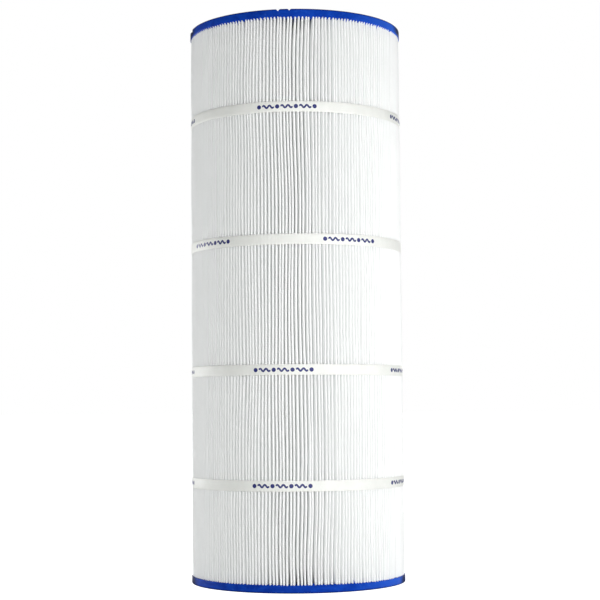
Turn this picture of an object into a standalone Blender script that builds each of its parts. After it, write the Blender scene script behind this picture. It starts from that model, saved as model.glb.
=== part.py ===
"""A pleated filter cartridge for a pool or spa filter, modelled as the separate pieces it is made of.

The cartridge's axis is Z. It stands on its lower end cap with the origin at the centre of its foot, and its
front faces -Y. Water passes inwards through the pleated cloth and leaves through the core and the end caps.
"""

import math

import bmesh
import bpy
from mathutils import Matrix

# Driving dimensions, in metres
OUTER_DIAMETER = 0.2286
LENGTH = 0.594
OPENING_DIAMETER = 0.1016
PLEATS = 195
BAND_HEIGHTS = {"upper": 0.493, "upper_middle": 0.357, "lower_middle": 0.224, "lower": 0.107}
CORE_SECTIONS = 5

GAP = 0.0003  # clearance between pieces that touch on the real cartridge
ROUND_STEPS = 64

# End caps: soft cast rings that hold the pack and the core in a trough
CAP_RADIUS = OUTER_DIAMETER / 2
CAP_SIDE = 0.0084
CAP_FLOOR = 0.0042
CAP_EDGE_ROUND = 0.0012
LIP_INNER = CAP_RADIUS - 0.0009
RIM_WIDTH = 0.0035
FACE_RECESS = 0.0012
FACE_SLOPE = 0.0008
OPENING_RADIUS = OPENING_DIAMETER / 2
SEAT_OUTER = OPENING_RADIUS + 0.0085
COLLAR_OUTER = 0.0540
COLLAR_HEIGHT = 0.0140
SEAL_BEAD = 0.0014
SEAL_BEAD_HEIGHT = 0.0070
NICK_ANGLES = (-8.6, -2.7, -75.5)  # degrees round from the front
NICK_SIDE = 0.0029
NICK_REACH = 0.0090

# Pleated cloth: one folded sheet whose two ends meet at the seam, at the back
SHEET = 0.0005
TIP_RADIUS = 0.11265
VALLEY_RADIUS = 0.05825
TIP_FLAT = 0.0011
VALLEY_FLAT = 0.0009
SEAM_END_RADIUS = 0.1080
SEAM_HALF_GAP = 0.0010
PACK_BOTTOM = CAP_FLOOR + GAP
PACK_TOP = LENGTH - PACK_BOTTOM
STRIP_THICKNESS = 0.0008
STRIP_INNER, STRIP_OUTER = 0.0600, 0.1060

# Straps round the pleat tips, each with its ends lapped
BAND_WIDTH = 0.0110
BAND_THICKNESS = 0.0003
BAND_RADIUS = 0.1135
BAND_LAP = math.radians(14)
BAND_STEPS = 64

# Core: a stack of slotted tubes, each with a spigot that enters the next
CORE_WALL = 0.0024
CORE_RADIUS = 0.0565
SPIGOT_RADIUS = CORE_RADIUS - CORE_WALL - GAP
SPIGOT_HEIGHT = 0.0060
CORE_COLUMNS = 12
CORE_ROWS = 3
CORE_SLOT_SHARE = 0.62  # of the angle between two ribs
END_RING = 0.0085
RING = 0.0065


def clear_scene():
    for obj in list(bpy.data.objects):
        bpy.data.objects.remove(obj)


def new_collection(name):
    collection = bpy.data.collections.new(name)
    bpy.context.scene.collection.children.link(collection)
    return collection


def make_material(name, colour, roughness):
    material = bpy.data.materials.new(name)
    material.use_nodes = True
    shader = material.node_tree.nodes["Principled BSDF"]
    shader.inputs["Base Color"].default_value = (*colour, 1.0)
    shader.inputs["Roughness"].default_value = roughness
    shader.inputs["Metallic"].default_value = 0.0
    return material


def mesh_object(name, bm, collection, material=None):
    """A new object holding the mesh, with smooth faces that stay sharp at real edges."""
    mesh = bpy.data.meshes.new(name)
    bm.to_mesh(mesh)
    bm.free()
    mesh.shade_smooth()
    mesh.set_sharp_from_angle(angle=math.radians(35))
    if material:
        mesh.materials.append(material)
    obj = bpy.data.objects.new(name, mesh)
    collection.objects.link(obj)
    return obj


def polar(radius, angle, height):
    """A point at an angle in radians round from the front, positive towards +X."""
    return (radius * math.sin(angle), -radius * math.cos(angle), height)


def arc(centre, radius, start, end, pieces):
    """Points along an arc in the plane of the profile, from start to end degrees."""
    turns = [math.radians(start + (end - start) * i / pieces) for i in range(pieces + 1)]
    return [(centre[0] + radius * math.cos(t), centre[1] + radius * math.sin(t)) for t in turns]


def solidify(obj, thickness):
    modifier = obj.modifiers.new("Thickness", "SOLIDIFY")
    modifier.thickness = thickness
    modifier.offset = 0.0
    modifier.use_even_offset = True


def turned(name, profile, collection, material):
    """A ring turned from a closed profile of (radius, height) points that runs down its outer side."""
    bm = bmesh.new()
    ring = [bm.verts.new((radius, 0.0, height)) for radius, height in profile]
    for first, second in zip(ring, ring[1:] + ring[:1]):
        bm.edges.new((first, second))
    obj = mesh_object(name, bm, collection, material)
    screw = obj.modifiers.new("Turn", "SCREW")
    screw.steps = screw.render_steps = ROUND_STEPS
    screw.angle = math.tau
    screw.merge_threshold = 1e-5
    return obj


def cap_profile():
    """The lower cap's section: outer side, foot, opening with its sealing bead, collar, trough and lip."""
    edge_centre = (CAP_RADIUS - CAP_EDGE_ROUND, CAP_EDGE_ROUND)
    rim_inner = CAP_RADIUS - RIM_WIDTH
    bead = [
        (OPENING_RADIUS, SEAL_BEAD_HEIGHT - SEAL_BEAD),
        (OPENING_RADIUS - SEAL_BEAD, SEAL_BEAD_HEIGHT),
        (OPENING_RADIUS, SEAL_BEAD_HEIGHT + SEAL_BEAD),
    ]
    return [
        (CAP_RADIUS, CAP_SIDE),
        *arc(edge_centre, CAP_EDGE_ROUND, 0, -90, 3),
        (rim_inner, 0.0),
        (rim_inner - FACE_SLOPE, FACE_RECESS),
        (SEAT_OUTER + FACE_SLOPE, FACE_RECESS),
        (SEAT_OUTER, 0.0),
        (OPENING_RADIUS + FACE_SLOPE, 0.0),
        (OPENING_RADIUS, FACE_SLOPE),
        *bead,
        (OPENING_RADIUS, COLLAR_HEIGHT - FACE_SLOPE),
        (OPENING_RADIUS + FACE_SLOPE, COLLAR_HEIGHT),
        (COLLAR_OUTER, COLLAR_HEIGHT),
        (COLLAR_OUTER, CAP_FLOOR),
        (LIP_INNER, CAP_FLOOR),
        (LIP_INNER, CAP_SIDE),
    ]


def cut_nicks(cap, cutters):
    """V-shaped nicks in the outer edge of the cap's face."""
    for number, degrees in enumerate(NICK_ANGLES, 1):
        angle = math.radians(degrees)
        bm = bmesh.new()
        bmesh.ops.create_cube(bm, size=1.0)
        bmesh.ops.scale(bm, vec=(NICK_SIDE, NICK_REACH, NICK_SIDE), verts=bm.verts)
        bmesh.ops.rotate(bm, matrix=Matrix.Rotation(math.radians(45), 3, "Y"), verts=bm.verts)
        cutter = mesh_object(f"nick_{number}", bm, cutters)
        cutter.location = polar(CAP_RADIUS, angle, LENGTH)
        cutter.rotation_euler.z = angle
        cutter.hide_render = True
        cutter.display_type = "WIRE"
        cut = cap.modifiers.new(f"Nick {number}", "BOOLEAN")
        cut.operation = "DIFFERENCE"
        cut.object = cutter


def make_caps(parts, cutters, material):
    lower = cap_profile()
    upper = [(radius, LENGTH - height) for radius, height in reversed(lower)]
    turned("bottom_end_cap", lower, parts, material)
    cut_nicks(turned("top_end_cap", upper, parts, material), cutters)


def swept_strip(name, outline, low, high, thickness, collection, material):
    """An upright sheet that follows a line of (radius, angle) points, given its thickness evenly."""
    bm = bmesh.new()
    line = [bm.verts.new(polar(radius, angle, low)) for radius, angle in outline]
    edges = [bm.edges.new(pair) for pair in zip(line, line[1:])]
    raised = bmesh.ops.extrude_edge_only(bm, edges=edges)["geom"]
    tops = [part for part in raised if isinstance(part, bmesh.types.BMVert)]
    bmesh.ops.translate(bm, vec=(0.0, 0.0, high - low), verts=tops)
    bmesh.ops.recalc_face_normals(bm, faces=bm.faces)
    obj = mesh_object(name, bm, collection, material)
    solidify(obj, thickness)
    return obj


def pleat_line():
    """The folded sheet's middle line, from one seam end round to the other. The seam is at the back."""
    seam = SEAM_HALF_GAP / VALLEY_RADIUS
    valley = VALLEY_FLAT / 2 / VALLEY_RADIUS
    tip = TIP_FLAT / 2 / TIP_RADIUS
    first = seam + valley
    pitch = (math.tau - 2 * first) / PLEATS
    line = [(SEAM_END_RADIUS, SEAM_HALF_GAP / SEAM_END_RADIUS)]
    for number in range(PLEATS + 1):
        fold = first + number * pitch
        line += [(VALLEY_RADIUS, fold - valley), (VALLEY_RADIUS, fold + valley)]
        if number < PLEATS:
            crest = fold + pitch / 2
            line += [(TIP_RADIUS, crest - tip), (TIP_RADIUS, crest + tip)]
    line.append((SEAM_END_RADIUS, math.tau - SEAM_HALF_GAP / SEAM_END_RADIUS))
    return [(radius, math.pi + angle) for radius, angle in line]


def make_media(parts, cloth, adhesive):
    swept_strip("pleated_media", pleat_line(), PACK_BOTTOM, PACK_TOP, SHEET, parts, cloth)
    bm = bmesh.new()
    bmesh.ops.create_cube(bm, size=1.0)
    size = (STRIP_THICKNESS, STRIP_OUTER - STRIP_INNER, PACK_TOP - PACK_BOTTOM)
    bmesh.ops.scale(bm, vec=size, verts=bm.verts)
    strip = mesh_object("media_seam_strip", bm, parts, adhesive)
    strip.location = (0.0, (STRIP_INNER + STRIP_OUTER) / 2, LENGTH / 2)


def band_line():
    """A full turn and the lap. The strap's end rides outwards just before it passes over the start."""
    step = (math.tau + BAND_LAP) / BAND_STEPS
    line = []
    for number in range(BAND_STEPS + 1):
        angle = number * step
        over_start = angle > math.tau - 2 * step
        radius = BAND_RADIUS + (BAND_THICKNESS + GAP if over_start else 0.0)
        line.append((radius, math.pi + angle))
    return line


def make_bands(parts, material):
    for name, height in BAND_HEIGHTS.items():
        low, high = height - BAND_WIDTH / 2, height + BAND_WIDTH / 2
        swept_strip(f"band_{name}", band_line(), low, high, BAND_THICKNESS, parts, material)


def core_levels(section_height):
    """Heights of a section's ring and slot edges, from its foot up."""
    slot = (section_height - 2 * END_RING - (CORE_ROWS - 1) * RING) / CORE_ROWS
    levels = [0.0, END_RING]
    for _ in range(CORE_ROWS):
        levels += [levels[-1] + slot, levels[-1] + slot + RING]
    levels[-1] = section_height - CORE_WALL / 2
    return levels


def core_section(name, foot, height, has_spigot, parts, material):
    """A tube of ribs and rings with open slots. Its upper end steps in to a spigot."""
    rings = [(CORE_RADIUS, level) for level in core_levels(height)]
    if has_spigot:
        shelf = rings[-1][1]
        rings += [(SPIGOT_RADIUS, shelf), (SPIGOT_RADIUS, height + SPIGOT_HEIGHT)]
    else:
        rings[-1] = (CORE_RADIUS, height)
    pitch = math.tau / CORE_COLUMNS
    half_slot = pitch * CORE_SLOT_SHARE / 2
    angles = [column * pitch + side * half_slot for column in range(CORE_COLUMNS) for side in (-1, 1)]
    bm = bmesh.new()
    rows = [[bm.verts.new(polar(radius, angle, z)) for angle in angles] for radius, z in rings]
    for level, (below, above) in enumerate(zip(rows, rows[1:])):
        slotted = level % 2 == 1 and level < 2 * CORE_ROWS
        for i in range(len(angles)):
            j = (i + 1) % len(angles)
            if not (slotted and i % 2 == 0):
                bm.faces.new((below[i], below[j], above[j], above[i]))
    obj = mesh_object(name, bm, parts, material)
    obj.location.z = foot
    solidify(obj, CORE_WALL)


def make_core(parts, material):
    pitch = (PACK_TOP - PACK_BOTTOM + GAP) / CORE_SECTIONS
    for number in range(CORE_SECTIONS):
        is_top = number == CORE_SECTIONS - 1
        foot = PACK_BOTTOM + number * pitch
        core_section(f"core_section_{number + 1}", foot, pitch - GAP, not is_top, parts, material)


def build():
    clear_scene()
    parts = new_collection("filter_cartridge")
    cutters = new_collection("cutters")
    urethane = make_material("blue_urethane", (0.004, 0.05, 0.45), 0.38)
    cloth = make_material("polyester_cloth", (0.80, 0.83, 0.82), 0.85)
    strap = make_material("polyester_strap", (0.84, 0.84, 0.80), 0.55)
    plastic = make_material("white_plastic", (0.78, 0.79, 0.79), 0.45)
    adhesive = make_material("seam_adhesive", (0.72, 0.69, 0.58), 0.35)
    make_caps(parts, cutters, urethane)
    make_media(parts, cloth, adhesive)
    make_bands(parts, strap)
    make_core(parts, plastic)


build()
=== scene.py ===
"""The looks of a pleated pool filter cartridge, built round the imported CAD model.

The cartridge stands on its lower cap at the origin, its axis is Z and its front faces -Y. Angles go round the
axis from the front and grow towards +X. Lengths are in metres. The folded cloth is one sheet on the real
cartridge. Here it is cut into five lengths that meet under the bands, to keep each mesh a fair size.
"""

import math

import bmesh
import bpy
import numpy as np
from mathutils import Matrix, Vector


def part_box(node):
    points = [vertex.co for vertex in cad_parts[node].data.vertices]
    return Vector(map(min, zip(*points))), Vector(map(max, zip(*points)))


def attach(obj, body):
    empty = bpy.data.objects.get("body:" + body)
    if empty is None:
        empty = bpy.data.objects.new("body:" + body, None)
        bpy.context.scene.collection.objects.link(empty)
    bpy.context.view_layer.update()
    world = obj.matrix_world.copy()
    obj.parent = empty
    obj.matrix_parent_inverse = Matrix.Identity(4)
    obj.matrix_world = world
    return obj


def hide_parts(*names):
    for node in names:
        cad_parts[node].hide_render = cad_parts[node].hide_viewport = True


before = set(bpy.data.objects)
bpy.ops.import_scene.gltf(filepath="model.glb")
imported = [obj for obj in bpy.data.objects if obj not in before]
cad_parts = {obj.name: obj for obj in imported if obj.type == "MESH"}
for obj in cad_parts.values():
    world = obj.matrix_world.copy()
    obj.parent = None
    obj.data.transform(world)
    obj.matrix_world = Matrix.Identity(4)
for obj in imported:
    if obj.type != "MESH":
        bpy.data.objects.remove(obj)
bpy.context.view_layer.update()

MM = 0.001

# Places and sizes taken from the frame
CAP_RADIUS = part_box("top_end_cap")[1].x
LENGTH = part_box("top_end_cap")[1].z
PACK_BOTTOM, PACK_TOP = (corner.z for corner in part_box("pleated_media"))
COLLAR_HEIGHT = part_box("bottom_end_cap")[1].z
BAND_NODES = ("band_lower", "band_lower_middle", "band_upper_middle", "band_upper")
CORE_NODES = tuple(f"core_section_{number}" for number in range(1, 6))
SEAM_ANGLE = math.pi

# End caps
CAP_FLOOR = 7.7 * MM  # from the cap's foot to the level that the urethane was poured to
UPPER_LIP = 9.2 * MM, 1.5 * MM, 0.5 * MM, 0.86  # side, fall, usual climb, rarity: see make_cap_lip
LOWER_LIP = 8.4 * MM, 0.5 * MM, 0.2 * MM, 0.97
LIP_SLOPE = 1.0 * MM  # by which the lip leans in between two tips
LIP_FOOT = 5.0 * MM
LIP_REACH = 12.0 * MM
LIP_WAVES = (60.0, 0.12 * MM), (8.0, 0.08 * MM)  # lip steps that a change takes, and its spread
LIP_DENTS, DEEPEST_DENT = (90.0, 0.04 * MM), 0.1 * MM
ARCH_HALF, ARCH_POWER = 0.33, 2.6  # half width in pitches, and shape, of the arch over a tip
ARCH_SIZES = 0.6, 1.1  # smallest and largest, as shares of the fall
CLIMB_HALF = 0.4  # half width of a climb, in pitches
TONGUE_RISES = ((0.0, 1.3 * MM), (0.64, 1.6 * MM))  # share of the tongues left out of each rise, the rise
EDGE_ROUND = 1.1 * MM
LIP_ROUND = 0.4 * MM
RIM_WIDTH = 3.5 * MM
FACE_RECESS = 1.2 * MM
FACE_POINTS = 75.0 * MM, 95.0 * MM  # radii of the recessed face's inner points
OPENING_RADIUS = 50.8 * MM
SEAT_WIDTH = 8.5 * MM
COLLAR_OUTER = 54.0 * MM
BEAD = 1.4 * MM
BEAD_HEIGHT = 7.0 * MM
NICKS = (  # degrees, depth, then length on the side of growing angles and on the other side
    (-8.6, 2.2 * MM, 2.1 * MM, 2.1 * MM),
    (-2.7, 1.9 * MM, 1.8 * MM, 1.8 * MM),
    (-75.0, 3.1 * MM, 0.5 * MM, 21.0 * MM),
)
CAP_STEPS, NICK_STEPS = 360, 10
LIP_STEPS_PER_PLEAT = 12
CAP_SHARP = 35  # degrees between two faces, from which their edge is sharp
PAINTED_LIGHT_SIDE = math.radians(70)  # middle of the side on which light is painted into the urethane as a paler blue

# Folded cloth
PLEATS = 195
SHEET = 0.5 * MM
TIP_RADIUS = CAP_RADIUS - 1.1 * MM  # of the sheet's middle, where nothing presses on it
TIP_FOLD = 0.77 * MM
VALLEY_RADIUS = 58.25 * MM
VALLEY_FOLD = 0.42 * MM
SEAM_END_RADIUS = 111.6 * MM
# Tips close in on the seam by a share of the pitch, which fades over some pleats
SEAM_DRAW, SEAM_DRAW_REACH = 0.42, 5.0
SEAM_HALF_GAP = 1.0 * MM
STRIP_LEVELS, STRIP_RECESS = 150, 0.5 * MM  # the adhesive ends this far inside the sheet's ends
LEVELS_PER_LENGTH = 17
CLOSEST_TIPS, SPREAD_ROUNDS = 2.26 * MM, 12
LEG_SHARES = np.array([0.05, 0.17, 0.5])  # of the way from a tip to a valley
LEG_SWELL = np.array([0.31, 0.45, 0.22])  # of the gap at the tips, by which each leg leans into it there
LEG_BOW = 0.09 * MM * np.array([0.4, 1.0, 0.6])
POTTED_REACH = 18.0 * MM  # of the cap, which holds the legs apart
# Wide gaps push their tips away by a share of the pitch, which fades over some pitches
SET_PUSH, CAP_PUSH, GAP_REACH = 0.09, 0.11, 1.6
TIP_JITTER, LEAN_JITTER = 0.07, 0.03  # of the pitch
# Random rows of tips: the pleats that a change takes, and its spread as a share of the pitch
LEAN, RIPPLE = (5.0, 0.19), (0.5, 0.006)
BUNCHING, SWAY = ((3.0, 0.10), (0.8, 0.05)), ((4.0, 0.08), (0.8, 0.025))
LEAN_FREE = 6  # pleats from the seam to where the tips lean freely
HELD_LENGTH = 5.5 * MM  # at both ends of a length, where the tips stay upright
TIP_STAND = 0.7, 0.10 * MM  # how far single tips stand out: pleats that a change takes, and its spread
TIP_PRESSED, TIP_BULGE = 0.12 * MM, 0.35 * MM  # in at a length's ends, and out between them
BOW_LIMIT = 1.8  # of the legs' random bow, in spreads
WIDE_GAPS = (-28.0, -16.3, -5.1, -0.9, 8.4, 17.6, 64.0, 118.0, -97.0, -141.0)  # degrees

# Bands
BAND_RADIUS = CAP_RADIUS - 0.8 * MM  # of the strap's inner side
BAND_THICKNESS = 0.3 * MM
BAND_LAP = math.radians(14)
LAP_RISE, LAP_SPACE = 0.05, 0.04 * MM  # radians over which the end climbs onto the start, air between them
BAND_SAG, DEEPEST_SAG, SEAM_SAG = 0.06 * MM, 0.12 * MM, 0.18 * MM  # over one pitch, at most, over the seam
EDGE_DRIFT, EDGE_WAVE = (0.22 * MM, 0.10 * MM), 0.05 * MM
BAND_STEPS_PER_PLEAT = 4
MARK_PITCH = 1.435  # radians from one printed mark to the next
MARK_ANGLES = {  # radians, of the mark nearest the front
    "band_lower": -0.144,
    "band_lower_middle": -0.126,
    "band_upper_middle": -0.919,
    "band_upper": -0.078,
}
INK = 0.03 * MM  # half the coat's thickness
MARK_LENGTH, MARK_DOTS = 62 * MM, 4
MARK_REACH = 0.29  # radians from a mark's middle, within which no strap's end may come
DOT_STEPS, WAVE_STEPS = 17, 70
DOT_CUT, THINNEST_SHARE = 0.03, 0.004  # radians off a dot's ends, and of a wave's width, to keep ends blunt
DOT_SIZE, DOT_SPACE = 4.4 * MM, 1.3 * MM
WAVE_PERIODS, WAVE_HEIGHT, WAVE_STROKE = 2, 1.3 * MM, 1.9 * MM

# Core
CORE_RADIUS = 56.5 * MM
CORE_WALL = 2.4 * MM
CORE_COLUMNS, CORE_ROWS = 12, 3
CORE_SLOT_SHARE = 0.62
CORE_END_RING, CORE_RING = 8.5 * MM, 6.5 * MM
SLOT_CORNER, SLOT_EDGE = 3.0 * MM, 0.35 * MM
SPIGOT_HEIGHT, SPIGOT_PLAY = 6.0 * MM, 0.3 * MM
CORE_BEAD, CORE_BEAD_HEIGHT = 0.7 * MM, 4.5 * MM
CORE_RING_STEPS, CORE_SHARP = 144, 32  # round a bead, and degrees as for CAP_SHARP

# Studio
CAMERA_DISTANCE, CAMERA_HEIGHT = 1.674, 0.189
CAMERA_LENS = 92.65  # mm, on a 36 mm sensor
CAMERA_PITCH, CAMERA_YAW, CAMERA_ROLL = 3.864, 0.124, 0.451  # degrees
WORLD_LIGHT = 0.262
WORLD_TINT = 0.96, 1.0, 0.98
LIT_HEIGHT = 0.25  # that the lights are aimed at
LIGHTS = (  # name, degrees round from the front, degrees up, distance, width, height, watts
    ("key", 35, 2, 0.90, 0.60, 0.40, 2.0),
    ("right", 55, 2, 0.90, 0.60, 0.40, 1.75),
    ("front", 0, 3, 2.0, 1.00, 0.70, 11.8),
    ("left_edge", -120, 2, 1.0, 0.35, 0.50, 4.7),
    ("back", 165, 10, 1.5, 0.80, 0.80, 7.0),
    ("top", 180, 66, 1.5, 0.80, 0.80, 6.0),
)
FLOOR_LIFT = 1.0  # glow that only the camera sees
FLOOR_HALF = 30.0
FLOOR_GAP = 0.2 * MM  # below the cartridge's foot

SEED = 20
random = np.random.default_rng(SEED)


# ---------------------------------------------------------------- meshes

def polar(radius, angle, height):
    """World points from radius, angle round from the front, and height. Arrays are allowed."""
    radius, angle, height = np.broadcast_arrays(radius, angle, height)
    return np.stack([radius * np.sin(angle), -radius * np.cos(angle), height], axis=-1)


def outward(points, faces):
    """The quads, turned round if they enclose a negative volume."""
    a, b, c, d = (points[faces[:, corner]] for corner in range(4))
    volume = np.einsum("ij,ij->", a, np.cross(b, c) + np.cross(c, d))
    return faces if volume > 0 else faces[:, ::-1]


def mesh_object(name, shapes, sharp_degrees=50):
    """One object from closed shapes, each a pair of points and quads."""
    mesh = bpy.data.meshes.new(name)
    points = np.concatenate([shape[0] for shape in shapes])
    firsts = np.cumsum([0] + [len(shape[0]) for shape in shapes[:-1]])
    faces = np.concatenate([outward(*shape) + first for shape, first in zip(shapes, firsts)])
    mesh.from_pydata(points, [], faces)
    mesh.update()
    mesh.shade_smooth()
    mesh.set_sharp_from_angle(angle=math.radians(sharp_degrees))
    obj = bpy.data.objects.new(name, mesh)
    bpy.context.scene.collection.objects.link(obj)
    return obj


def grid_faces(rows, columns, wrap_rows=False, wrap_columns=False):
    """Quads of a grid whose points are stored row by row."""
    row = np.arange(rows if wrap_rows else rows - 1)[:, None]
    column = np.arange(columns if wrap_columns else columns - 1)[None, :]
    above, beside = (row + 1) % rows * columns, (column + 1) % columns
    row = row * columns
    return np.stack([row + column, row + beside, above + beside, above + column], axis=-1).reshape(-1, 4)


def strip_faces(loop, first):
    """Quads that close a flat loop whose second half runs back beside its first half."""
    half = loop // 2
    near = np.arange(half - 1)
    far = loop - 1 - near
    return first + np.stack([near, far, far - 1, near + 1], axis=-1)


def solid(loops, closed=False):
    """Points and quads through a row of equal loops. Its ends are closed unless the row is."""
    count, size = loops.shape[:2]
    faces = grid_faces(count, size, wrap_rows=closed, wrap_columns=True)
    if not closed:
        first, last = strip_faces(size, 0), strip_faces(size, (count - 1) * size)
        faces = np.concatenate([faces, first[:, ::-1], last])
    return loops.reshape(-1, 3), faces


def finish_piece(piece, node, material):
    """The piece stands for the CAD node, takes the slot's finish and moves with the one body."""
    piece.data.materials.append(material)
    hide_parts(node)
    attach(piece, "root")


def rounded(corners, steps=4):
    """A closed outline from (radius, height, rounding) corners. Each rounding is a smooth curve."""
    outline = []
    places = [np.array(corner[:2]) for corner in corners]
    for i, (_, _, rounding) in enumerate(corners):
        here = places[i]
        if rounding == 0:
            outline.append(here)
            continue
        back, on = places[i - 1] - here, places[(i + 1) % len(places)] - here
        start = here + back * rounding / np.linalg.norm(back)
        end = here + on * rounding / np.linalg.norm(on)
        for t in np.linspace(0, 1, steps):
            outline.append((1 - t) ** 2 * start + 2 * t * (1 - t) * here + t**2 * end)
    return np.array(outline)


def ring(outline, angles):
    """A closed ring from an outline of (radius, height) points."""
    loops = polar(outline[None, :, 0], angles[:, None], outline[None, :, 1])
    return solid(loops, closed=True)


# ---------------------------------------------------------------- folded cloth

def smooth_noise(count, spacing, scale):
    """A seamless row of values that change over about `spacing` items, with the given spread."""
    raw = random.normal(size=count)
    reach = np.minimum(np.arange(count), count - np.arange(count))
    kernel = np.exp(-0.5 * (reach / spacing) ** 2)
    row = np.real(np.fft.ifft(np.fft.fft(raw) * np.fft.fft(kernel)))
    return scale * row / row.std()


SEAM_SHARE = (SEAM_HALF_GAP + VALLEY_FOLD) / VALLEY_RADIUS
PLEAT_PITCH = (math.tau - 2 * SEAM_SHARE) / PLEATS
VALLEYS = SEAM_ANGLE + SEAM_SHARE + PLEAT_PITCH * np.arange(PLEATS + 1)
FROM_SEAM = np.minimum(np.arange(PLEATS), np.arange(PLEATS)[::-1])
SIDE_OF_SEAM = np.sign(np.arange(PLEATS) - PLEATS / 2)
DRAWN = SEAM_DRAW * PLEAT_PITCH * np.exp(-FROM_SEAM / SEAM_DRAW_REACH) * SIDE_OF_SEAM
EVEN_TIPS = VALLEYS[:-1] + PLEAT_PITCH / 2 + DRAWN


def open_wide_gaps(tips, push):
    """Parts the tips on both sides of each wide gap by a share of the pitch that fades over the next few."""
    for degrees in WIDE_GAPS:
        away = (tips - math.radians(degrees) + math.pi) % math.tau - math.pi
        tips = tips + np.sign(away) * push * PLEAT_PITCH * np.exp(-np.abs(away) / (GAP_REACH * PLEAT_PITCH))
    return tips


def spread(tips, radius):
    """Moves neighbouring tips apart where they would press into each other."""
    least = CLOSEST_TIPS / radius
    for _ in range(SPREAD_ROUNDS):
        short = np.clip(least - np.diff(tips, axis=-1), 0, None) / 2
        tips[..., :-1] -= short
        tips[..., 1:] += short
    return tips


set_tips = open_wide_gaps(EVEN_TIPS, SET_PUSH) + random.normal(size=PLEATS) * TIP_JITTER * PLEAT_PITCH


def held_tips():
    """Tip angles at the lower cap, each band and the upper cap. Pleats lean in groups between them."""
    free = np.clip(FROM_SEAM / LEAN_FREE, 0, 1)
    rows = []
    for _ in range(len(BAND_NODES) + 2):
        lean = free * smooth_noise(PLEATS, *LEAN) + LEAN_JITTER * random.normal(size=PLEATS)
        rows.append(set_tips + lean * PLEAT_PITCH)
    rows[0], rows[-1] = (open_wide_gaps(rows[end], CAP_PUSH) for end in (0, -1))
    return [spread(row, TIP_RADIUS) for row in rows]


def tip_lines(heights, low_tips, high_tips):
    """Angle and radius of every tip at each height of a length. Tips wander and bulge between the bands."""
    low, high = heights[0], heights[-1]
    free = high - low - 2 * HELD_LENGTH
    share = np.clip((heights - low - HELD_LENGTH) / free, 0, 1)[:, None]
    eased = share * share * (3 - 2 * share)
    tips = low_tips + (high_tips - low_tips) * eased
    bunching, sway = (sum(smooth_noise(PLEATS, *row) for row in rows) for rows in (BUNCHING, SWAY))
    ripple = smooth_noise(PLEATS, *RIPPLE)
    phase = random.uniform(0, math.tau, PLEATS)
    wander = bunching * np.sin(math.pi * share) + sway * np.sin(math.tau * share)
    wander += ripple * np.sin(math.pi * share) * np.sin(3 * math.pi * share + phase)
    tips = spread(tips + wander * PLEAT_PITCH, TIP_RADIUS)
    stand = smooth_noise(PLEATS, *TIP_STAND)
    bulge = TIP_BULGE * np.sin(math.pi * share) ** 0.6
    return tips, TIP_RADIUS - TIP_PRESSED + bulge + stand * (0.35 + 0.65 * np.sin(math.pi * share))


def fold(centre_radius, centre_angle, size, is_tip, turns):
    """Points of a rounded fold round each centre, in the flat: outward for a tip, inward for a valley."""
    across = np.stack([np.sin(centre_angle), -np.cos(centre_angle)], axis=-1)
    along = np.stack([np.cos(centre_angle), np.sin(centre_angle)], axis=-1)
    centre = (centre_radius[..., None] * across)[..., None, :]
    side, rise = np.sin(turns)[:, None], np.cos(turns)[:, None] * (1 if is_tip else -1)
    return centre + size * (rise * across[..., None, :] + side * along[..., None, :])


def sheet_middle(tips, tip_radius, swell):
    """The folded sheet's middle line at each height, from one seam end round to the other."""
    count = len(tips)
    crest_turns = np.radians([-82, -44, 0, 44, 82])
    root_turns = np.radians([-70, 0, 70])
    crests = fold(tip_radius - TIP_FOLD, tips, TIP_FOLD, True, crest_turns)
    valley_angles = np.broadcast_to(VALLEYS, (count, PLEATS + 1))
    valley_radius = np.full_like(valley_angles, VALLEY_RADIUS + VALLEY_FOLD)
    roots = fold(valley_radius, valley_angles, VALLEY_FOLD, False, root_turns)
    even_gap = PLEAT_PITCH * TIP_RADIUS - 2 * TIP_FOLD - SHEET
    gaps = np.zeros((count, PLEATS + 1))
    gaps[:, 1:-1] = np.diff(tips, axis=1) * TIP_RADIUS - 2 * TIP_FOLD - SHEET
    bow = np.clip(smooth_noise(2 * PLEATS, 1.0, 1.0), -BOW_LIMIT, BOW_LIMIT).reshape(2, PLEATS)

    def leg(top, bottom, gap, side, bow):
        reach = bottom - top
        across = side * np.stack([-reach[..., 1], reach[..., 0]], axis=-1)
        across /= np.linalg.norm(across, axis=-1, keepdims=True)
        line = top[..., None, :] + LEG_SHARES[:, None] * reach[..., None, :]
        lean = gap[..., None] * (swell[:, None, None] * LEG_SWELL + bow[:, None] * LEG_BOW / even_gap)
        return line + lean[..., None] * across[..., None, :]

    rising = leg(crests[:, :, 0], roots[:, :-1, -1], gaps[:, :-1], 1, bow[0])[:, :, ::-1]
    falling = leg(crests[:, :, -1], roots[:, 1:, 0], gaps[:, 1:], -1, bow[1])
    pleats = np.concatenate([roots[:, :-1], rising, crests, falling], axis=2).reshape(count, -1, 2)
    gap = SEAM_HALF_GAP / SEAM_END_RADIUS
    start, end = (polar(SEAM_END_RADIUS, SEAM_ANGLE + turn, 0.0)[:2] for turn in (gap, math.tau - gap))
    first_leg = start + np.array([0.0, 0.3, 0.7])[:, None] * (roots[0, 0, 0] - start)
    last_leg = roots[0, -1, -1] + np.array([0.3, 0.7, 1.0])[:, None] * (end - roots[0, -1, -1])
    ends = [np.broadcast_to(part, (count, 3, 2)) for part in (first_leg, last_leg)]
    return np.concatenate([ends[0], pleats, roots[:, -1], ends[1]], axis=1)


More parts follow.
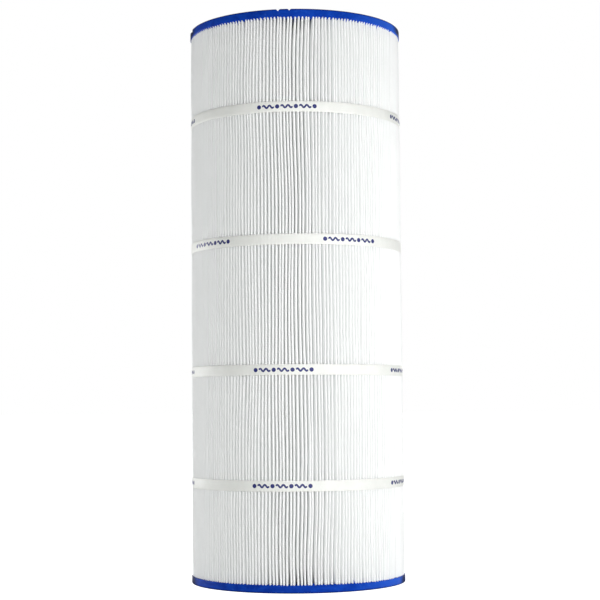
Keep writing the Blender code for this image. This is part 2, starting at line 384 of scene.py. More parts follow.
def thicken(middle, thickness):
    """A closed outline round each middle line: its outer side, then its inner side run backwards."""
    ahead = np.diff(middle, axis=1)
    ahead /= np.linalg.norm(ahead, axis=-1, keepdims=True)
    before = np.concatenate([ahead[:, :1], ahead], axis=1)
    after = np.concatenate([ahead, ahead[:, -1:]], axis=1)
    along = before + after
    along /= np.linalg.norm(along, axis=-1, keepdims=True)
    across = np.stack([along[..., 1], -along[..., 0]], axis=-1)
    widen = 1 / np.clip(np.sum(along * after, axis=-1, keepdims=True), 0.6, 1)
    step = across * widen * thickness / 2
    return np.concatenate([middle + step, (middle - step)[:, ::-1]], axis=1)


def make_cloth():
    """The pleated pack, in lengths that meet at the middle of each band."""
    band_heights = [(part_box(node)[0].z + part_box(node)[1].z) / 2 for node in BAND_NODES]
    cuts = [PACK_BOTTOM, *band_heights, PACK_TOP]
    tips = held_tips()
    lengths = []
    for number, (low, high) in enumerate(zip(cuts, cuts[1:])):
        heights = np.linspace(low, high, LEVELS_PER_LENGTH + 1)
        angles, radii = tip_lines(heights, tips[number], tips[number + 1])
        from_cap = np.minimum(heights, LENGTH - heights) - CAP_FLOOR
        swell = np.clip(from_cap / POTTED_REACH, 0, 1)
        outline = thicken(sheet_middle(angles, radii, swell), SHEET)
        level = np.broadcast_to(heights[:, None, None], (*outline.shape[:2], 1))
        loops = np.concatenate([outline, level], axis=-1)
        lengths.append(mesh_object(f"pleated_media_{number + 1}", [solid(loops)]))
    return lengths, tips


def make_seam_strip():
    """The bead of set adhesive between the sheet's two ends, a little uneven along its height."""
    heights = np.linspace(PACK_BOTTOM, PACK_TOP, STRIP_LEVELS)
    low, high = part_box("media_seam_strip")
    inner, outer, half = low.y, SEAM_END_RADIUS - STRIP_RECESS, (high.x - low.x) / 2
    swell = smooth_noise(len(heights), 2.0, 0.12)[:, None]
    ooze = smooth_noise(len(heights), 3.0, 0.35 * MM)[:, None]
    across = np.array([0.0, 0.7, 1.0, 1.0, 1.0, 0.6])
    along = np.array([0.0, 0.004, 0.02, 0.5, 0.97, 1.0])
    radius = inner + along * (outer + ooze - inner)
    width = half * across * (1 + swell)
    radius = np.concatenate([radius, radius[:, ::-1]], axis=1)
    width = np.concatenate([width + 0.02 * MM, -width[:, ::-1] - 0.02 * MM], axis=1)
    level = np.broadcast_to(heights[:, None], radius.shape)
    return mesh_object("media_seam_strip_bead", [solid(np.stack([width, radius, level], axis=-1))])


# ---------------------------------------------------------------- end caps

def nick_depth(angles):
    """Depth of the upper cap's nicks at each angle."""
    depth = np.zeros(len(angles))
    for degrees, deepest, ahead, behind in NICKS:
        along = ((angles - math.radians(degrees) + math.pi) % math.tau - math.pi) * CAP_RADIUS
        depth = np.maximum(depth, deepest * (1 - np.maximum(along / ahead, -along / behind)))
    return depth


def cap_angles():
    """Even steps round a cap, with fine ones across the nicks."""
    angles = [np.arange(CAP_STEPS) * math.tau / CAP_STEPS]
    for degrees, _, ahead, behind in NICKS:
        across = np.concatenate([np.linspace(-behind, 0, NICK_STEPS), np.linspace(0, ahead, NICK_STEPS)])
        angles.append(math.radians(degrees) + across / CAP_RADIUS)
    return np.unique(np.round(np.concatenate(angles) % math.tau, 5))


def cap_outline():
    """The lower cap's section without its lip: up the side, over the floor, down the bore, along the face."""
    bead = BEAD_HEIGHT + BEAD, BEAD_HEIGHT, BEAD_HEIGHT - BEAD
    seat_outer = OPENING_RADIUS + SEAT_WIDTH
    rim_inner = CAP_RADIUS - RIM_WIDTH
    lip_inner = CAP_RADIUS - LIP_REACH + MM
    corners = [
        (CAP_RADIUS, 0.0, EDGE_ROUND),
        (CAP_RADIUS, LIP_FOOT, 0),
        (lip_inner, LIP_FOOT, 0),
        (lip_inner, CAP_FLOOR, 0),
        (COLLAR_OUTER, CAP_FLOOR, 0),
        (COLLAR_OUTER, COLLAR_HEIGHT, 0.7 * MM),
        (OPENING_RADIUS, COLLAR_HEIGHT, 1.0 * MM),
        (OPENING_RADIUS, bead[0], 0.3 * MM),
        (OPENING_RADIUS - 0.75 * BEAD, bead[0] - 0.3 * MM, 0.7 * MM),
        (OPENING_RADIUS - BEAD, bead[1], 0.6 * MM),
        (OPENING_RADIUS - 0.75 * BEAD, bead[2] + 0.3 * MM, 0.7 * MM),
        (OPENING_RADIUS, bead[2], 0.3 * MM),
        (OPENING_RADIUS, 0.0, 1.0 * MM),
        (seat_outer, 0.0, 0.6 * MM),
        (seat_outer + 0.9 * MM, FACE_RECESS, 0.6 * MM),
        *((radius, FACE_RECESS, 0) for radius in FACE_POINTS),
        (rim_inner - 0.9 * MM, FACE_RECESS, 0.6 * MM),
        (rim_inner, 0.0, 0.6 * MM),
    ]
    return rounded(corners)


def make_cap_body(is_upper):
    """A cast ring with its rim, face, seat, opening, sealing bead and collar."""
    angles = cap_angles()
    outline = cap_outline()
    radius = np.broadcast_to(outline[:, 0], (len(angles), len(outline))).copy()
    height = np.broadcast_to(outline[:, 1], radius.shape).copy()
    if is_upper:
        cut = outline[:, 0] > CAP_RADIUS - RIM_WIDTH - MM
        height[:, cut] = np.maximum(height[:, cut], nick_depth(angles)[:, None])
    return solid(polar(radius, angles[:, None], height), closed=True)


def make_cap_lip(tips, side, fall, usual_climb, rarity):
    """The cap's lip. Its edge lies at `side`, falls back over each tip and climbs in the gaps between tips.

    A climb is random, up to the usual one. A share of 1 - rarity of the gaps also has a tongue of urethane.
    """
    count = PLEATS * LIP_STEPS_PER_PLEAT
    angles = VALLEYS[0] + math.tau * np.arange(count) / count
    from_tips = np.abs(angles[:, None] - tips[None, :]) / PLEAT_PITCH
    arch = np.clip(1 - (from_tips.min(axis=1) / ARCH_HALF) ** ARCH_POWER, 0, 1)
    arch = arch * random.uniform(*ARCH_SIZES, PLEATS)[from_tips.argmin(axis=1)]
    half = PLEAT_PITCH / 2
    middles = np.concatenate([[tips[0] - half], (tips[1:] + tips[:-1]) / 2, [tips[-1] + half]])
    nearest = np.abs(angles[:, None] - middles[None, :]).argmin(axis=1)
    away = np.clip(np.abs(angles - middles[nearest]) / (CLIMB_HALF * PLEAT_PITCH), 0, 1)
    climbs = usual_climb * random.random(len(middles))
    tongues = (random.random(len(middles)) - rarity) / (1 - rarity)
    for share, rise in TONGUE_RISES:
        climbs[tongues > share] += rise
    climb = climbs[nearest] * (0.5 + 0.5 * np.cos(math.pi * away))
    edge = side - fall * arch
    for row in LIP_WAVES:
        edge = edge + smooth_noise(count, *row)
    dent = np.clip(smooth_noise(count, *LIP_DENTS), -DEEPEST_DENT, 0.0)
    slope = LIP_SLOPE * np.clip(1 - arch, 0, 1)
    crest = edge - fall * (1 - arch)
    tip_outer = TIP_RADIUS + SHEET / 2
    fixed = np.full(count, LIP_FOOT)
    side_radius = CAP_RADIUS + dent
    turn_height = crest + 0.3 * (edge - crest) - 0.15 * LIP_ROUND
    rows = [
        (CAP_RADIUS, fixed),
        (CAP_RADIUS + 0.5 * dent, (fixed + crest) / 2),
        (side_radius, crest - 1.6 * LIP_ROUND),
        (side_radius - 0.1 * LIP_ROUND, crest - 0.7 * LIP_ROUND),
        (side_radius - 0.45 * LIP_ROUND - 0.25 * slope, turn_height),
        (tip_outer - slope, edge),
        (tip_outer - slope - 0.5 * MM, edge + 0.7 * climb),
        (tip_outer - slope - 1.2 * MM, edge + climb),
        (tip_outer - slope - 3.0 * MM, edge + 0.8 * climb),
        (tip_outer - 7.0 * MM, edge + 0.3 * climb),
        (CAP_RADIUS - LIP_REACH, edge),
        (CAP_RADIUS - LIP_REACH, fixed - MM),
        (CAP_RADIUS - MM, fixed - MM),
    ]
    loops = [polar(radius, angles, height) for radius, height in rows]
    return solid(np.stack(loops, axis=1), closed=True)


def make_cap(name, tips, is_upper):
    shapes = [make_cap_body(is_upper), make_cap_lip(tips, *(UPPER_LIP if is_upper else LOWER_LIP))]
    if is_upper:
        for points, _ in shapes:
            points[:, 2] = LENGTH - points[:, 2]
    return mesh_object(name, shapes, CAP_SHARP)


# ---------------------------------------------------------------- bands and their printed marks

def strap_radius(angles, tips):
    """Radius of a strap's inner side: it rests on the tips, sags between them, rides over its own start."""
    turn = (angles - SEAM_ANGLE) % math.tau
    rest = tips - SEAM_ANGLE
    middles = np.concatenate([[0.0], (rest[1:] + rest[:-1]) / 2, [math.tau]])
    sag = np.clip(np.diff(rest) / PLEAT_PITCH * BAND_SAG, 0, DEEPEST_SAG)
    places = np.concatenate([rest, middles])
    drops = np.concatenate([np.zeros(len(rest)), [SEAM_SAG], sag, [SEAM_SAG]])
    order = np.argsort(places)
    over_start = np.clip((angles - SEAM_ANGLE - math.tau + LAP_RISE) / LAP_RISE, 0, 1)
    lift = (BAND_THICKNESS + LAP_SPACE) * over_start * over_start * (3 - 2 * over_start)
    return BAND_RADIUS - np.interp(turn, places[order], drops[order]) + lift


def strap_edges(angles, node):
    """Heights of a strap's lower and upper edge, which wander a little."""
    low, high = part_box(node)
    turn = (angles - SEAM_ANGLE) % math.tau
    phases = random.uniform(0, math.tau, 4)
    drift = EDGE_DRIFT[0] * np.sin(turn + phases[0]) + EDGE_DRIFT[1] * np.sin(3 * turn + phases[1])
    wave = EDGE_WAVE * np.sin(23 * turn + phases[2]), EDGE_WAVE * np.sin(31 * turn + phases[3])
    return low.z + drift + wave[0], high.z + drift + wave[1]


def make_band(node, tips):
    """A flat woven strap laid once round the tips, with its end lapped over its start at the back."""
    turns = math.tau + BAND_LAP
    angles = SEAM_ANGLE + np.linspace(0, turns, int(PLEATS * BAND_STEPS_PER_PLEAT * turns / math.tau))
    inner = strap_radius(angles, tips)[:, None]
    low, high = (edge[:, None] for edge in strap_edges(angles, node))
    share = np.array([0.0, 0.03, 0.25, 0.5, 0.75, 0.97, 1.0])
    outer_bulge = np.array([0.25, 0.9, 1.0, 1.0, 1.0, 0.9, 0.25]) * BAND_THICKNESS
    level = low + share * (high - low)
    outer = inner + outer_bulge
    inner = np.broadcast_to(inner, outer.shape)
    radius = np.concatenate([outer, inner[:, ::-1]], axis=1)
    level = np.concatenate([level, level[:, ::-1]], axis=1)
    return mesh_object(f"{node}_strap", [solid(polar(radius, angles[:, None], level))])


def stroke(along, level, half):
    """The lower and upper edge of a line with the given half widths, each a row of (along, level) points."""
    line = np.stack([along, level], axis=-1)
    ahead = np.gradient(line, axis=0)
    ahead /= np.linalg.norm(ahead, axis=-1, keepdims=True)
    across = np.stack([-ahead[:, 1], ahead[:, 0]], axis=-1) * half[:, None]
    return line - across, line + across


def mark_shapes():
    """One printed mark: a row of dots with a short wave between each two."""
    shapes = []
    turn = np.linspace(DOT_CUT, math.pi - DOT_CUT, DOT_STEPS)
    level = np.zeros(DOT_STEPS)
    step = (MARK_LENGTH - DOT_SIZE) / (MARK_DOTS - 1)
    wave_length = step - DOT_SIZE - 2 * DOT_SPACE
    share = np.linspace(0, 1, WAVE_STEPS)
    from_end = np.minimum(share, 1 - share) * wave_length / (WAVE_STROKE / 2)
    half = WAVE_STROKE / 2 * np.sqrt(np.clip(1 - np.clip(1 - from_end, 0, 1) ** 2, THINNEST_SHARE, 1))
    for number in range(MARK_DOTS):
        centre = number * step - (MARK_LENGTH - DOT_SIZE) / 2
        shapes.append(stroke(centre - DOT_SIZE / 2 * np.cos(turn), level, DOT_SIZE / 2 * np.sin(turn)))
        if number < MARK_DOTS - 1:
            start = centre + DOT_SIZE / 2 + DOT_SPACE
            wave = WAVE_HEIGHT * np.sin(math.tau * WAVE_PERIODS * share)
            shapes.append(stroke(start + wave_length * share, wave, half))
    return shapes


def make_marks(node, tips):
    """The marks printed along one strap, as a thin coat of ink that follows its outer side."""
    low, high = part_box(node)
    middle = (low.z + high.z) / 2
    first = (MARK_ANGLES[node] - SEAM_ANGLE) % math.tau % MARK_PITCH
    turns = math.tau + BAND_LAP
    shapes = []
    for centre in np.arange(first, turns, MARK_PITCH):
        if not BAND_LAP + MARK_REACH < centre < turns - MARK_REACH:
            continue
        for lower, upper in mark_shapes():
            corners = np.stack([lower, upper, upper, lower], axis=1)
            angles = SEAM_ANGLE + centre + corners[..., 0] / BAND_RADIUS
            surface = strap_radius(angles, tips) + BAND_THICKNESS
            radius = surface + np.array([INK, INK, -INK, -INK])
            shapes.append(solid(polar(radius, angles, middle + corners[..., 1])))
    return mesh_object(f"{node}_print", shapes)


# ---------------------------------------------------------------- core

def slot_panel(low, high, slot_low, slot_high, width):
    """A panel's edge, the rim of its round-cornered slot and the slot itself, point for point in the flat."""
    half, rise = CORE_SLOT_SHARE * width / 2, (slot_high - slot_low) / 2
    flat = half - SLOT_CORNER
    inward = np.array([1, 3, 5]) / 6 * flat
    turn = np.radians([-67.5, -45, -22.5])
    upright = np.linspace(-1, 1, 6) * (rise - SLOT_CORNER)
    corner = np.stack([flat + SLOT_CORNER * np.cos(turn), SLOT_CORNER * (np.sin(turn) + 1) - rise], axis=-1)
    foot = np.concatenate([np.stack([inward, np.full(3, -rise)], axis=-1), corner])
    head = foot[::-1] * (1, -1)
    right = np.concatenate([foot, np.stack([np.full(6, half), upright], axis=-1), head])
    edge = right.copy()
    edge[4:-4, 0] = width / 2
    middle = (slot_low + slot_high) / 2
    edge[:5, 1] = low - middle
    edge[-5:, 1] = high - middle
    slot, edge = (np.concatenate([line, line[::-1] * (-1, 1)]) for line in (right, edge))
    grown = slot * (1 + SLOT_EDGE / np.array([half, rise]))
    return [line + (0, middle) for line in (edge, grown, slot)]


def core_panels(low, high):
    """The slotted tube of one section, as points and quads with its seams still open."""
    width = math.tau / CORE_COLUMNS * CORE_RADIUS
    slot = (high - low - 2 * CORE_END_RING - (CORE_ROWS - 1) * CORE_RING) / CORE_ROWS
    inner = CORE_RADIUS - CORE_WALL
    radii = np.array([CORE_RADIUS, CORE_RADIUS, CORE_RADIUS - SLOT_EDGE, inner + SLOT_EDGE, inner, inner])
    points, faces = [], []
    for row in range(CORE_ROWS):
        foot = low + CORE_END_RING + row * (slot + CORE_RING)
        panel_low = low if row == 0 else foot - CORE_RING / 2
        panel_high = high if row == CORE_ROWS - 1 else foot + slot + CORE_RING / 2
        edge, grown, cut = slot_panel(panel_low, panel_high, foot, foot + slot, width)
        lines = np.stack([edge, grown, cut, cut, grown, edge], axis=1)
        size = len(edge)
        for column in range(CORE_COLUMNS):
            angles = (column + 0.5) * math.tau / CORE_COLUMNS + lines[..., 0] / CORE_RADIUS
            quads = [grid_faces(size, 6, wrap_rows=True)]
            if row in (0, CORE_ROWS - 1):
                ends = np.flatnonzero(edge[:, 1] == (panel_low if row == 0 else panel_high))
                pairs = [(a, (a + 1) % size) for a in ends if (a + 1) % size in ends]
                quads.append(np.array([(a * 6, a * 6 + 5, b * 6 + 5, b * 6) for a, b in pairs]))
            first = sum(map(len, points))
            points.append(polar(radii, angles, lines[..., 1]).reshape(-1, 3))
            faces.append(np.concatenate(quads) + first)
    return np.concatenate(points), np.concatenate(faces)


def make_core_section(number, node):
    """A moulded length of core: a slotted tube with a bead at each end and, below the top one, a spigot."""
    low, high = (corner.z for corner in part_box(node))
    is_top = number == len(CORE_NODES)
    if not is_top:
        high -= SPIGOT_HEIGHT
    tube = bmesh.new()
    points, faces = core_panels(low, high)
    verts = [tube.verts.new(point) for point in points]
    for face in faces:
        tube.faces.new([verts[i] for i in face])
    bmesh.ops.remove_doubles(tube, verts=tube.verts, dist=0.02 * MM)
    bmesh.ops.recalc_face_normals(tube, faces=tube.faces)
    tube.verts.index_update()
    places = np.array([vert.co for vert in tube.verts])
    corners = np.array([[vert.index for vert in face.verts] for face in tube.faces])
    shapes = [(places, corners)]
    tube.free()
    angles = math.tau * np.arange(CORE_RING_STEPS) / CORE_RING_STEPS
    outer, inner = CORE_RADIUS + CORE_BEAD, CORE_RADIUS - CORE_WALL
    for end, away in ((low, 1), (high, -1)):
        bead = [(outer, end, 0.5 * MM), (outer, end + away * CORE_BEAD_HEIGHT, 0.9 * MM),
                (CORE_RADIUS - MM, end + away * (CORE_BEAD_HEIGHT + 0.4 * MM), 0), (CORE_RADIUS - MM, end, 0)]
        shapes.append(ring(rounded(bead), angles))
    if not is_top:
        plug_outer, plug_inner = inner - SPIGOT_PLAY, inner - CORE_WALL - SPIGOT_PLAY
        plug = [(plug_outer, high + SPIGOT_HEIGHT, 0.6 * MM), (plug_outer, high - MM, 0.3 * MM),
                (inner + 0.4 * MM, high - MM, 0), (inner + 0.4 * MM, high - 2.6 * MM, 0),
                (plug_inner, high - 3.2 * MM, 0.8 * MM), (plug_inner, high + SPIGOT_HEIGHT, 0.6 * MM)]
        shapes.append(ring(rounded(plug), angles))
    return mesh_object(f"{node}_moulding", shapes, CORE_SHARP)


# ---------------------------------------------------------------- materials

class Shader:
    """A Principled material, with short calls that add nodes to it. Patterns use world places in metres."""

    def __init__(self, name, roughness=0.5, specular=0.5):
        self.material = bpy.data.materials.new(name)
        self.material.use_nodes = True
        self.nodes = self.material.node_tree.nodes
        self.links = self.material.node_tree.links
        self.surface = self.nodes["Principled BSDF"]
        self.set("Roughness", roughness)
        self.set("Specular IOR Level", specular)
        self.place = self.nodes.new("ShaderNodeTexCoord").outputs["Object"]

    def put(self, socket, value):
        if isinstance(value, bpy.types.NodeSocket):
            self.links.new(value, socket)
        elif value is not None:
            is_colour = socket.type == "RGBA"
            socket.default_value = (*value, 1.0) if is_colour else value

    def set(self, name, value):
        self.put(self.surface.inputs[name], value)

    def maths(self, operation, a, b=None, clamp=False):
        node = self.nodes.new("ShaderNodeMath")
        node.operation, node.use_clamp = operation, clamp
        self.put(node.inputs[0], a)
        self.put(node.inputs[1], b)
        return node.outputs[0]

    def noise(self, scale, detail=2.0, stretch=(1, 1, 1), roughness=0.5, distortion=0.0):
        mapping = self.nodes.new("ShaderNodeMapping")
        mapping.inputs["Scale"].default_value = stretch
        self.links.new(self.place, mapping.inputs["Vector"])
        node = self.nodes.new("ShaderNodeTexNoise")
        self.links.new(mapping.outputs[0], node.inputs["Vector"])
        settings = {"Scale": scale, "Detail": detail, "Roughness": roughness, "Distortion": distortion}
        for name, value in settings.items():
            node.inputs[name].default_value = value
        return node.outputs["Fac"]

    def spots(self, scale):
        node = self.nodes.new("ShaderNodeTexVoronoi")
        self.links.new(self.place, node.inputs["Vector"])
        node.inputs["Scale"].default_value = scale
        return node.outputs["Distance"]

    def remap(self, value, low, high, new_low=0.0, new_high=1.0):
        node = self.nodes.new("ShaderNodeMapRange")
        ends = {"From Min": low, "From Max": high, "To Min": new_low, "To Max": new_high}
        for name, number in ends.items():
            node.inputs[name].default_value = number
        self.put(node.inputs["Value"], value)
        return node.outputs["Result"]

    def mix(self, share, a, b):
        node = self.nodes.new("ShaderNodeMix")
        node.data_type = "RGBA"
        for name, value in (("Factor_Float", share), ("A_Color", a), ("B_Color", b)):
            self.put(next(i for i in node.inputs if i.identifier == name), value)
        return next(o for o in node.outputs if o.identifier == "Result_Color")

    def cylinder(self):
        """Distance from the axis, length round the axis at the tips, and height."""
        apart = self.nodes.new("ShaderNodeSeparateXYZ")
        self.links.new(self.place, apart.inputs[0])
        x, y, z = apart.outputs
        squares = self.maths("ADD", self.maths("MULTIPLY", x, x), self.maths("MULTIPLY", y, y))
        radius = self.maths("SQRT", squares)
        length = self.maths("MULTIPLY", self.maths("ARCTAN2", x, y), BAND_RADIUS)
        return radius, length, z

    def bump(self, height, depth, under=None):
        node = self.nodes.new("ShaderNodeBump")
        node.inputs["Distance"].default_value = depth
        self.put(node.inputs["Height"], height)
        if under is not None:
            self.links.new(under, node.inputs["Normal"])
        return node.outputs[0]


def cloth_material():
    """Spunbonded polyester: fine random fibres and faint cloudy patches. Some light passes into the sheet."""
    s = Shader("spunbonded_cloth", 0.85, 0.15)
    clouds = s.noise(55, 4, (1, 1, 0.35), 0.6)
    upright = s.noise(2600, 2, (1, 1, 0.08), 0.6, 0.4)
    slanted = s.noise(2100, 2, (0.25, 0.25, 0.6), 0.6, 1.5)
    fibres = s.maths("MAXIMUM", upright, slanted)
    white = s.mix(s.remap(clouds, 0.35, 0.65), (0.925, 0.948, 0.938), (0.955, 0.970, 0.963))
    s.set("Base Color", s.mix(s.remap(fibres, 0.45, 0.75, 0.0, 0.35), white, (0.86, 0.885, 0.875)))
    s.set("Subsurface Weight", 1.0)
    s.set("Subsurface Radius", (1.0, 1.0, 1.0))
    s.set("Subsurface Scale", 0.4 * MM)
    s.set("Normal", s.bump(clouds, 0.04 * MM, s.bump(fibres, 0.06 * MM)))
    return s.material


def urethane_material():
    """Cast urethane: satin blue with flow marks, fine grain, pinholes with painted shade in them, and scuffs.

    Light is painted round its right-hand side as a paler blue. Shade is painted as navy on its outer edge,
    and a dark reflection is painted in at grazing angles.
    """
    s = Shader("cast_blue_urethane", 0.5, 0.07)
    s.set("Specular Tint", (0.35, 0.55, 1.0))
    radius, length, height = s.cylinder()
    from_middle = s.maths("ABSOLUTE", s.maths("SUBTRACT", height, LENGTH / 2))
    painted_edge_shade = s.remap(from_middle, LENGTH / 2 - 1.7 * MM, LENGTH / 2 - 0.8 * MM)
    on_side = s.remap(radius, CAP_RADIUS - 2.2 * MM, CAP_RADIUS - 1.4 * MM)
    painted_edge_shade = s.maths("MULTIPLY", painted_edge_shade, on_side)
    flow = s.noise(40, 3, (1, 1, 2.0), 0.6, 1.2)
    grain = s.noise(900, 3, roughness=0.6)
    cloudy = s.noise(130, 4, roughness=0.6)
    pits = s.remap(s.spots(420), 0.06, 0.16, 0.0, 1.0)
    sparse = s.remap(s.noise(210, 1), 0.56, 0.60, 0.0, 1.0)
    pits = s.maths("SUBTRACT", 1.0, s.maths("MULTIPLY", s.maths("SUBTRACT", 1.0, pits), sparse))
    blue = s.mix(s.remap(flow, 0.3, 0.7), (0.0018, 0.028, 0.300), (0.0050, 0.058, 0.470))
    blue = s.mix(s.remap(cloudy, 0.45, 0.75, 0.0, 0.25), blue, (0.014, 0.085, 0.52))
    scuffs = s.maths("MULTIPLY", s.remap(s.noise(330, 4, roughness=0.7), 0.58, 0.70), 0.22, True)
    blue = s.mix(scuffs, blue, (0.06, 0.16, 0.58))
    # Painted light: a paler blue round the right-hand side stands in for the light that falls on that side.
    turn = s.maths("SUBTRACT", s.maths("DIVIDE", length, BAND_RADIUS), PAINTED_LIGHT_SIDE)
    painted_side_light = s.remap(s.maths("COSINE", turn), 0.15, 0.95, 0.0, 0.9)
    blue = s.mix(painted_side_light, blue, (0.040, 0.160, 0.82))
    # Painted shade: navy along the cap's outer rounded edge, where the rounding turns away from the light.
    blue = s.mix(s.maths("MULTIPLY", painted_edge_shade, 0.75), blue, (0.001, 0.010, 0.11))
    # Painted reflection: the side's blue turns near black at grazing angles, standing in for dark
    # surroundings mirrored in the satin surface.
    grazing = s.nodes.new("ShaderNodeLayerWeight").outputs["Facing"]
    painted_dark_reflection = s.maths("MULTIPLY", on_side, s.remap(grazing, 0.67, 0.80, 0.0, 0.94))
    blue = s.mix(painted_dark_reflection, blue, (0.0005, 0.004, 0.045))
    # Painted shade: the pinholes are coloured a darker blue, as the shade inside them.
    s.set("Base Color", s.mix(pits, (0.002, 0.018, 0.17), blue))
    s.set("Roughness", s.remap(cloudy, 0.3, 0.7, 0.42, 0.58))
    under = s.bump(pits, 0.10 * MM, s.bump(flow, 0.25 * MM))
    s.set("Normal", s.bump(grain, 0.03 * MM, under))
    return s.material


def strap_material():
    """Woven polyester tape: cream white, a fine weave along and across, slightly shiny."""
    s = Shader("woven_strap", 0.50, 0.4)
    _, length, height = s.cylinder()
    along = s.maths("SINE", s.maths("MULTIPLY", length, math.tau / (0.9 * MM)))
    across = s.maths("SINE", s.maths("MULTIPLY", height, math.tau / (0.7 * MM)))
    weave = s.maths("MULTIPLY", along, across)
    clouds = s.noise(70, 3, (1, 1, 1), 0.6)
    threads = s.noise(1500, 2, (0.2, 0.2, 1))
    cream = s.mix(s.remap(clouds, 0.3, 0.7), (0.84, 0.845, 0.81), (0.90, 0.90, 0.87))
    cream = s.mix(s.remap(weave, -1, 1, 0.10, 0.0), cream, (0.70, 0.71, 0.68))
    s.set("Base Color", s.mix(s.remap(threads, 0.4, 0.7, 0.0, 0.12), cream, (0.74, 0.75, 0.71)))
    s.set("Roughness", s.remap(weave, -1, 1, 0.56, 0.46))
    s.set("Normal", s.bump(weave, 0.03 * MM, s.bump(threads, 0.03 * MM)))
    return s.material


def ink_material():
    """Navy ink, thin enough in places for the strap to show through."""
    s = Shader("printed_ink", 0.45, 0.4)
    wear = s.noise(900, 3, roughness=0.7)
    tone = s.noise(160, 2)
    navy = s.mix(tone, (0.012, 0.018, 0.130), (0.026, 0.033, 0.190))
    s.set("Base Color", s.mix(s.remap(wear, 0.60, 0.72, 0.0, 0.55), navy, (0.42, 0.44, 0.56)))
    s.set("Normal", s.bump(wear, 0.02 * MM))
    return s.material


def plastic_material():
    """Moulded white plastic: satin, with faint flow lines and a fine spark texture."""
    s = Shader("moulded_white_plastic", 0.42, 0.5)
    flow = s.noise(40, 3, (1, 1, 0.3), 0.5, 0.8)
    texture = s.noise(1400, 2)
    s.set("Base Color", s.mix(s.remap(flow, 0.3, 0.7), (0.86, 0.875, 0.875), (0.91, 0.915, 0.91)))
    s.set("Roughness", s.remap(texture, 0.3, 0.7, 0.34, 0.50))
    s.set("Normal", s.bump(texture, 0.02 * MM, s.bump(flow, 0.10 * MM)))
    return s.material


def adhesive_material():
    """Set hot-melt adhesive: waxy, straw coloured, lumpy."""
    s = Shader("set_adhesive", 0.30, 0.5)
    lumps = s.noise(300, 3, roughness=0.6)
    s.set("Base Color", s.mix(lumps, (0.66, 0.62, 0.49), (0.80, 0.77, 0.66)))
    s.set("Subsurface Weight", 0.2)
    s.set("Subsurface Scale", 0.6 * MM)
    s.set("Normal", s.bump(lumps, 0.3 * MM))
    return s.material


# ---------------------------------------------------------------- the pieces

def build():
    cloth, urethane, plastic = cloth_material(), urethane_material(), plastic_material()
    strap, ink, adhesive = strap_material(), ink_material(), adhesive_material()
    lengths, tips = make_cloth()
    for piece in lengths:
        finish_piece(piece, "pleated_media", cloth)
    finish_piece(make_seam_strip(), "media_seam_strip", adhesive)
    finish_piece(make_cap("bottom_cap_casting", tips[0], False), "bottom_end_cap", urethane)
    finish_piece(make_cap("top_cap_casting", tips[-1], True), "top_end_cap", urethane)
    for node, held in zip(BAND_NODES, tips[1:-1]):
        band = make_band(node, held)
        finish_piece(band, node, strap)
        finish_piece(make_marks(node, held), node, ink)
    for number, node in enumerate(CORE_NODES, 1):
        finish_piece(make_core_section(number, node), node, plastic)


# ---------------------------------------------------------------- floor, light and camera

def area_light(name, azimuth, elevation, distance, width, height, power):
    """A soft light aimed at the cartridge, from an angle round from the front and above the floor."""
    data = bpy.data.lights.new(name, "AREA")
    data.shape = "RECTANGLE"
    data.size, data.size_y = width, height
    data.energy = power
    light = bpy.data.objects.new(name, data)
    bpy.context.scene.collection.objects.link(light)
    turn, rise = math.radians(azimuth), math.radians(elevation)
    back = Vector((math.sin(turn) * math.cos(rise), -math.cos(turn) * math.cos(rise), math.sin(rise)))
    light.location = Vector((0.0, 0.0, LIT_HEIGHT)) + back * distance
    light.rotation_mode = "QUATERNION"
    light.rotation_quaternion = (-back).to_track_quat("-Z", "Y")


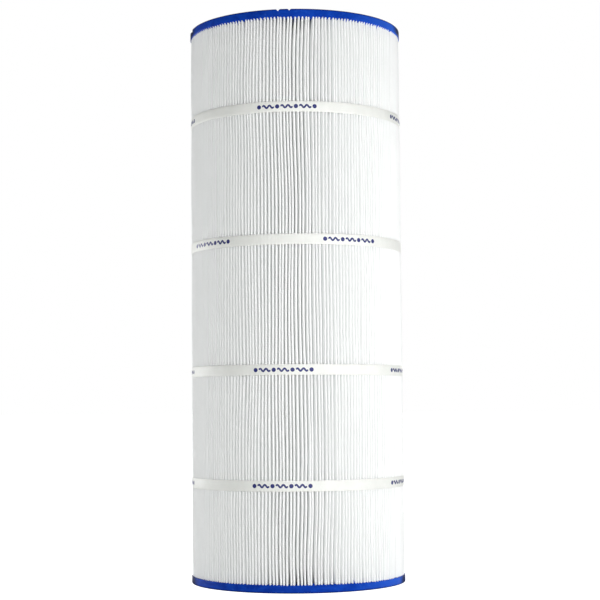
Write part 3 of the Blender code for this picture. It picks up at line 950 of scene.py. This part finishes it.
def make_floor():
    """A wide pale floor, lifted for the camera so that it runs into the white beyond it."""
    signs = (-1, -1), (1, -1), (1, 1), (-1, 1)
    corners = [(x * FLOOR_HALF, y * FLOOR_HALF, -FLOOR_GAP) for x, y in signs]
    mesh = bpy.data.meshes.new("floor")
    mesh.from_pydata(corners, [], [(0, 1, 2, 3)])
    floor = bpy.data.objects.new("floor", mesh)
    bpy.context.scene.collection.objects.link(floor)
    s = Shader("pale_floor", 0.9, 0.0)
    s.set("Base Color", s.mix(s.noise(8, 2), (0.90, 0.90, 0.90), (0.92, 0.92, 0.92)))
    s.set("Emission Color", (1.0, 1.0, 1.0))
    camera_ray = s.nodes.new("ShaderNodeLightPath").outputs["Is Camera Ray"]
    s.set("Emission Strength", s.maths("MULTIPLY", camera_ray, FLOOR_LIFT))
    mesh.materials.append(s.material)


def make_world():
    """Even white light all round. The camera sees plain white beyond the floor."""
    world = bpy.data.worlds.new("studio")
    bpy.context.scene.world = world
    world.use_nodes = True
    nodes, links = world.node_tree.nodes, world.node_tree.links
    lit, seen, mix = nodes["Background"], nodes.new("ShaderNodeBackground"), nodes.new("ShaderNodeMixShader")
    lit.inputs["Color"].default_value = (*WORLD_TINT, 1.0)
    lit.inputs["Strength"].default_value = WORLD_LIGHT
    seen.inputs["Color"].default_value = (1.0, 1.0, 1.0, 1.0)
    seen.inputs["Strength"].default_value = 1.0
    links.new(nodes.new("ShaderNodeLightPath").outputs["Is Camera Ray"], mix.inputs["Fac"])
    links.new(lit.outputs[0], mix.inputs[1])
    links.new(seen.outputs[0], mix.inputs[2])
    links.new(mix.outputs[0], nodes["World Output"].inputs["Surface"])


def make_camera():
    data = bpy.data.cameras.new("camera")
    data.sensor_width, data.lens = 36.0, CAMERA_LENS
    camera = bpy.data.objects.new("camera", data)
    bpy.context.scene.collection.objects.link(camera)
    tilt = Matrix.Rotation(math.radians(90 + CAMERA_PITCH), 4, "X")
    turn = Matrix.Rotation(math.radians(-CAMERA_YAW), 4, "Z")
    roll = Matrix.Rotation(math.radians(-CAMERA_ROLL), 4, "Z")
    camera.matrix_world = Matrix.Translation((0.0, -CAMERA_DISTANCE, CAMERA_HEIGHT)) @ turn @ tilt @ roll
    bpy.context.scene.camera = camera


def make_studio():
    for light in LIGHTS:
        area_light(*light)
    make_floor()
    make_world()
    make_camera()
    bpy.context.scene.view_settings.view_transform = "Standard"
    bpy.context.scene.view_settings.look = "None"


build()
make_studio()
